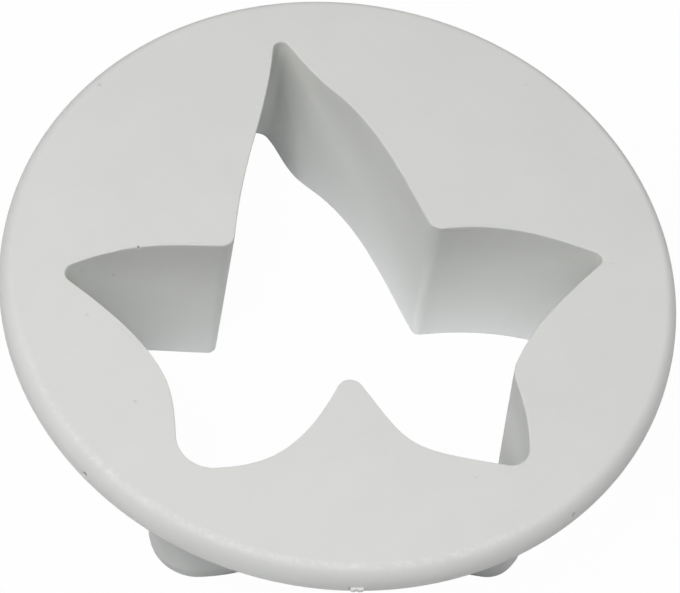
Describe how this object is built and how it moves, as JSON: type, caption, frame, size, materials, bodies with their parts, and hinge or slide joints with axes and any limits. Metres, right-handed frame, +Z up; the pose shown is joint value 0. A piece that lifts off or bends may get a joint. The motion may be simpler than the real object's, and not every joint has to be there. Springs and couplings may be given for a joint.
{
  "type": "fondant leaf cutter",
  "caption": "Moulded plastic fondant cutter: a round pressing flange with a rounded rim, pierced by an ivy-leaf opening whose tapering wall runs down to a bevelled cutting edge.",
  "frame": {"origin": "centre of the round flange, down at the level of the cutting edge", "axes": "+Z up from the cutting edge to the pressing face, +Y towards the leaf's tip, +X towards its right side lobe, seen from above"},
  "size_m": [0.06, 0.0602, 0.0183],
  "materials": {
    "moulded_plastic": "white injection-moulded plastic, satin"
  },
  "bodies": {
    "root": {"flange_plate": "moulded_plastic", "flange_rim": "moulded_plastic", "root_fillet": "moulded_plastic", "top_lobe_wall": "moulded_plastic", "right_lobe_wall": "moulded_plastic", "lower_right_lobe_wall": "moulded_plastic", "lower_left_lobe_wall": "moulded_plastic", "left_lobe_wall": "moulded_plastic", "cutting_edge": "moulded_plastic", "gate_stub": "moulded_plastic"}
  },
  "joints": []
}
